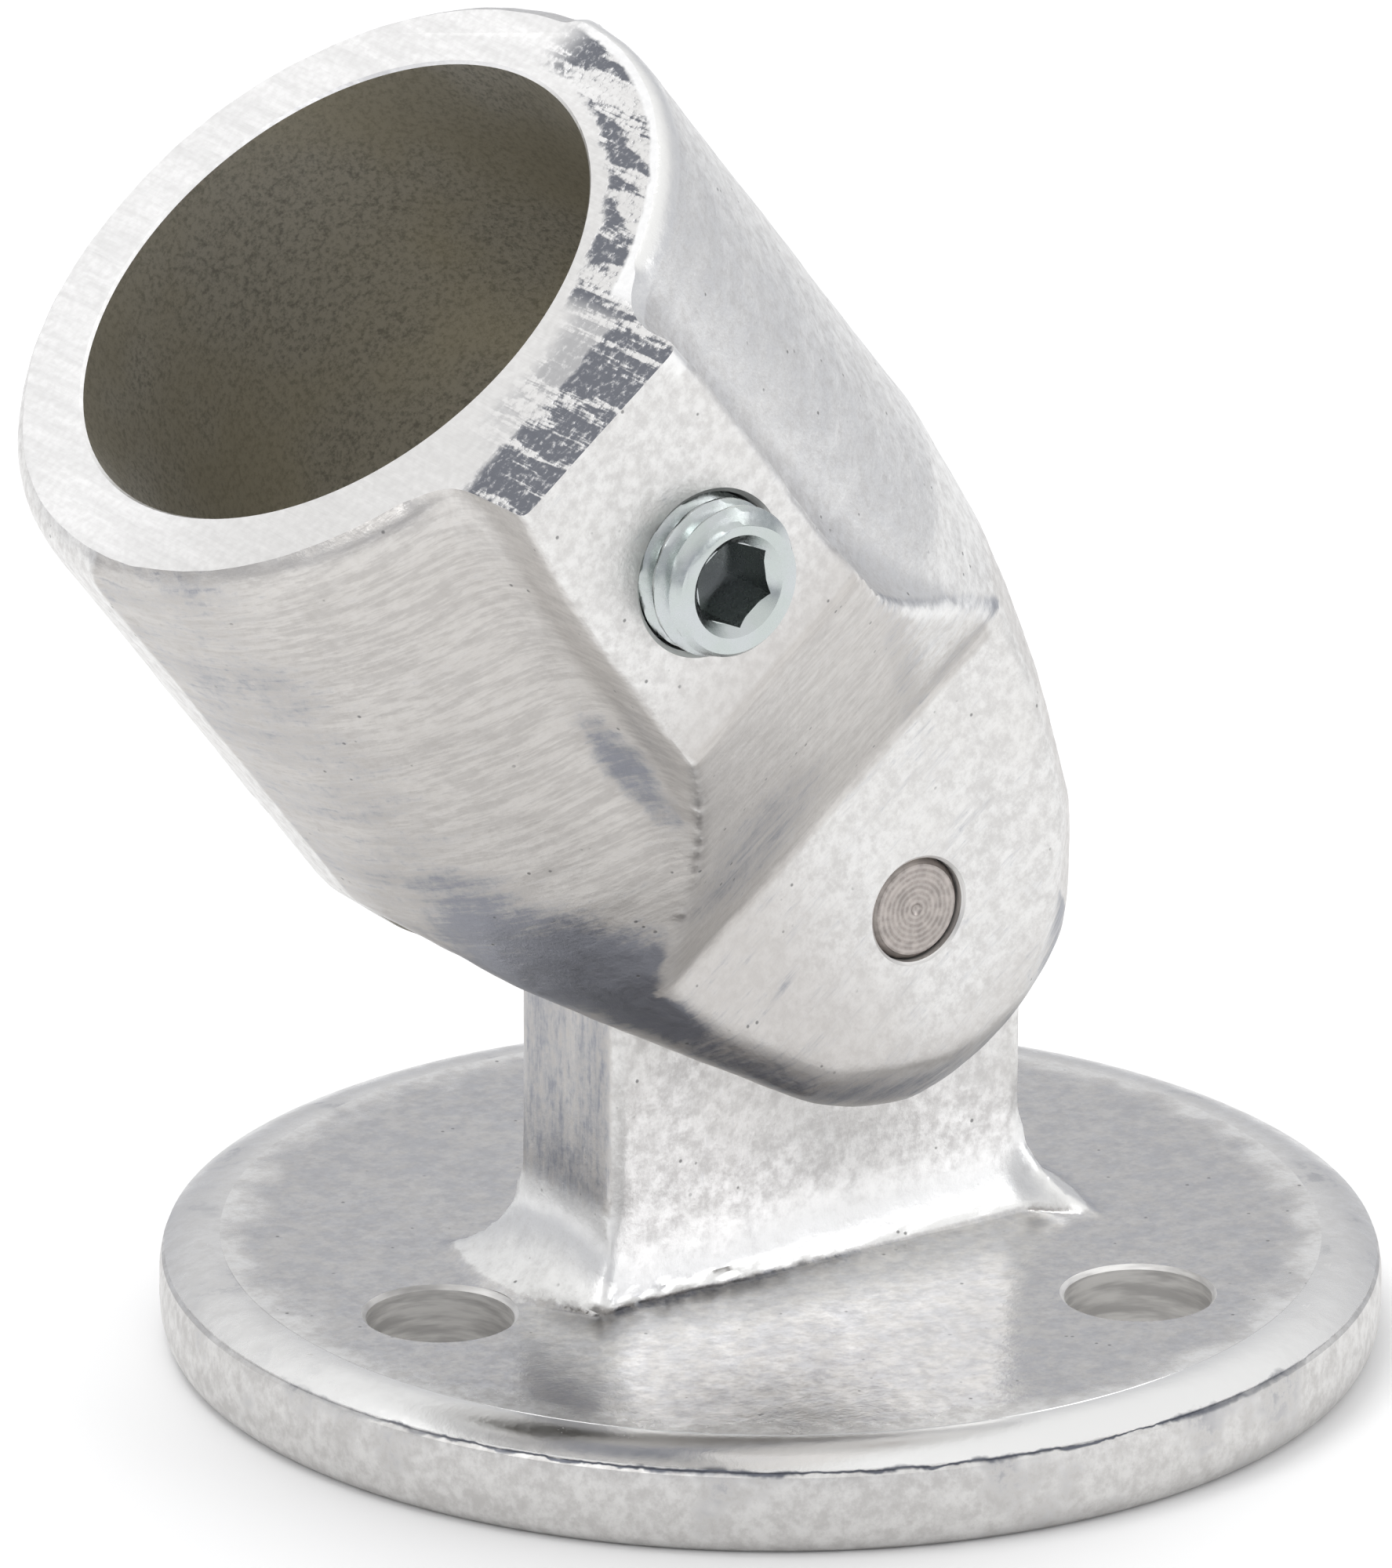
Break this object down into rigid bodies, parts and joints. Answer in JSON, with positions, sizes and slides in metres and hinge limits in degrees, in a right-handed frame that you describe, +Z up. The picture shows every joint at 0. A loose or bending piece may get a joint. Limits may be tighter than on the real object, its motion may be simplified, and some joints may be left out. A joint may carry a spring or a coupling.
{
  "type": "swivel stanchion base",
  "caption": "Cast stanchion base: round flange with drilled fixing holes and a pipe socket that swings on a pin, with a set screw to grip the pipe.",
  "frame": {"origin": "centre of the flange's flat underside", "axes": "+Z up through the flange, X along the tongue's length, Y along the pivot pin; the socket leans towards -X and its set screw faces -Y"},
  "size_m": [0.086, 0.0738, 0.086],
  "materials": {
    "cast_aluminium": "tumbled casting, satin with glossy rim",
    "cast_aluminium_socket": "tumbled casting, satin with dark smudges",
    "turned_steel": "turned end faces",
    "zinc_plated_steel": "bright zinc plate"
  },
  "bodies": {
    "base": {"base_flange": "cast_aluminium", "pivot_pin": "turned_steel"},
    "socket": {"swivel_socket": "cast_aluminium_socket"},
    "screw": {"set_screw": "zinc_plated_steel"}
  },
  "joints": [
    {"name": "socket_swivel", "type": "hinge", "parent": "base", "child": "socket", "pos_m": [0, 0, 0.0316], "axis": [0, 1, 0], "range_deg": [-52, 127]},
    {"name": "set_screw_travel", "type": "slide", "parent": "socket", "child": "screw", "axis": [0, 1, 0], "range_m": [-0.003, 0.0045]}
  ]
}
